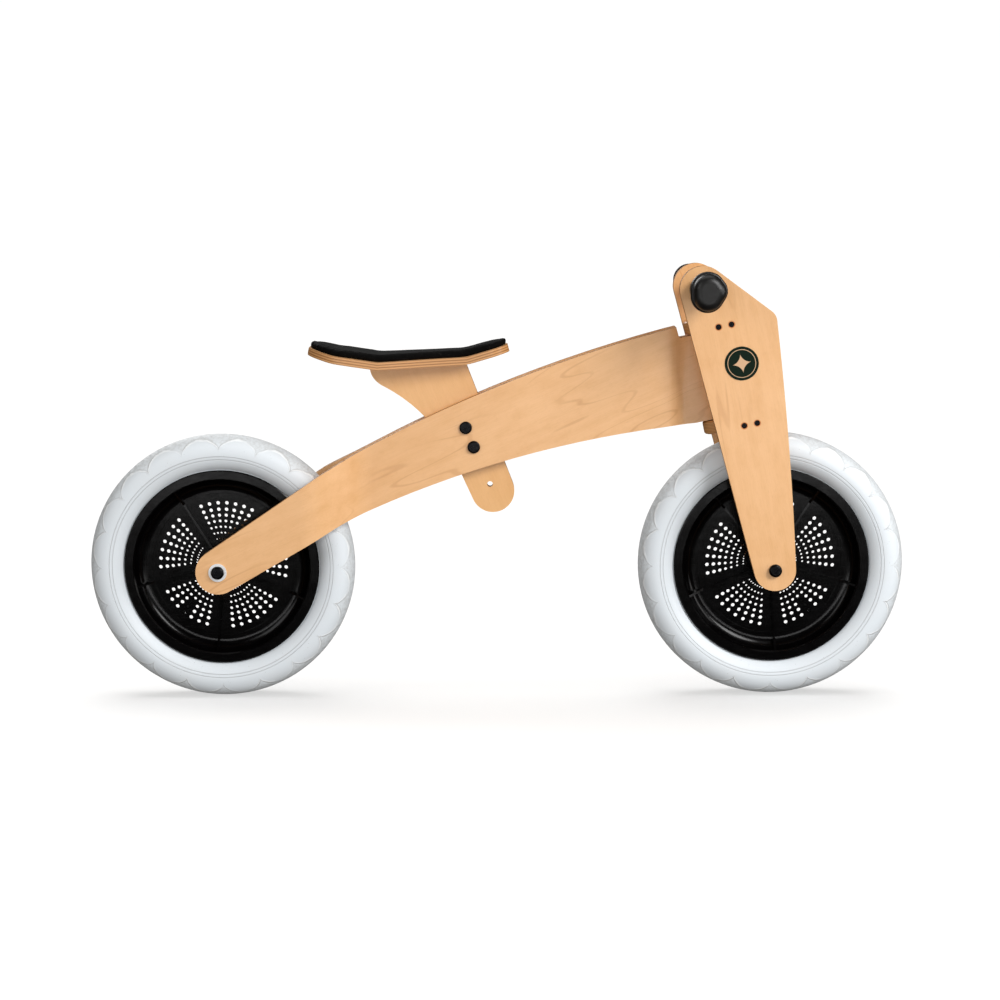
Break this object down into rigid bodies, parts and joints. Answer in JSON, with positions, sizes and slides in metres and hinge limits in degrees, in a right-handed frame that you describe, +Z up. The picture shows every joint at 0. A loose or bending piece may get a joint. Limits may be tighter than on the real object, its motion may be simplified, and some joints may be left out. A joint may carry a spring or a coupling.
{
  "type": "balance bike",
  "caption": "Child's plywood balance bike with bent side panels, plank fork, perforated disc wheels, air tyres and a padded seat on a bolted post.",
  "frame": {"origin": "on the ground, midway between the two wheels, on the bike's centre plane", "axes": "+X forward, +Y to the rider's left, +Z up"},
  "size_m": [0.912, 0.2806, 0.4828],
  "materials": {
    "plywood": "satin lacquered beech plywood",
    "seat_plywood": "satin lacquered bent plywood",
    "block_wood": "lacquered beech",
    "bar_wood": "lacquered beech dowel",
    "seat_foam": "black closed-cell foam",
    "grip_rubber": "charcoal moulded rubber",
    "badge_green": "dark green printed film",
    "disc_plastic": "glossy black moulded plastic",
    "tyre": "off-white rubber",
    "tube_rubber": "black rubber",
    "valve_rubber": "black rubber over brass",
    "bush_plastic": "black low-friction plastic",
    "black_steel": "black oxide",
    "zinc_steel": "bright zinc"
  },
  "bodies": {
    "frame": {"frame_panel_right": "plywood", "frame_panel_left": "plywood", "steering_sleeve": "zinc_steel", "steering_bush_upper": "bush_plastic", "steering_bush_lower": "bush_plastic", "seat_post": "plywood", "seat_plank": "seat_plywood", "seat_pad": "seat_foam", "seat_screw_rear": "zinc_steel", "seat_screw_front": "zinc_steel", "seat_bolt_upper": "black_steel", "seat_bolt_lower": "black_steel", "seat_nut_upper": "black_steel", "seat_nut_lower": "black_steel", "rear_axle_sleeve": "zinc_steel", "rear_hub_spacer_right": "zinc_steel", "rear_hub_spacer_left": "zinc_steel", "rear_axle_washer_right": "zinc_steel", "rear_axle_washer_left": "zinc_steel", "rear_axle_bolt_right": "black_steel", "rear_axle_bolt_left": "black_steel"},
    "rear_wheel": {"rear_wheel_disc": "disc_plastic", "rear_tyre": "tyre", "rear_inner_tube": "tube_rubber", "rear_valve": "valve_rubber", "rear_bearing_right": "zinc_steel", "rear_bearing_left": "zinc_steel"},
    "fork": {"fork_plank_right": "plywood", "fork_plank_left": "plywood", "steering_block_upper": "block_wood", "steering_block_lower": "block_wood", "fork_screw_1_right": "black_steel", "fork_screw_1_left": "black_steel", "fork_screw_2_right": "black_steel", "fork_screw_2_left": "black_steel", "fork_screw_3_right": "black_steel", "fork_screw_3_left": "black_steel", "fork_screw_4_right": "black_steel", "fork_screw_4_left": "black_steel", "pivot_bolt": "zinc_steel", "pivot_washer": "zinc_steel", "pivot_nut": "zinc_steel", "handlebar": "bar_wood", "grip_right": "grip_rubber", "grip_left": "grip_rubber", "badge_right": "badge_green", "badge_left": "badge_green", "front_axle_sleeve": "zinc_steel", "front_hub_spacer_right": "zinc_steel", "front_hub_spacer_left": "zinc_steel", "front_axle_washer_right": "zinc_steel", "front_axle_washer_left": "zinc_steel", "front_axle_bolt_right": "black_steel", "front_axle_bolt_left": "black_steel"},
    "front_wheel": {"front_wheel_disc": "disc_plastic", "front_tyre": "tyre", "front_inner_tube": "tube_rubber", "front_valve": "valve_rubber", "front_bearing_right": "zinc_steel", "front_bearing_left": "zinc_steel"}
  },
  "joints": [
    {"name": "rear_wheel_spin", "type": "hinge", "parent": "frame", "child": "rear_wheel", "pos_m": [-0.3075, 0, 0.1485], "axis": [0, 1, 0], "continuous": true},
    {"name": "steering", "type": "hinge", "parent": "frame", "child": "fork", "pos_m": [0.24247, 0, 0.3608], "axis": [-0.1994, 0, 0.9799], "range_deg": [-35, 35]},
    {"name": "front_wheel_spin", "type": "hinge", "parent": "fork", "child": "front_wheel", "pos_m": [0.3075, 0, 0.1485], "axis": [0, 1, 0], "continuous": true}
  ]
}
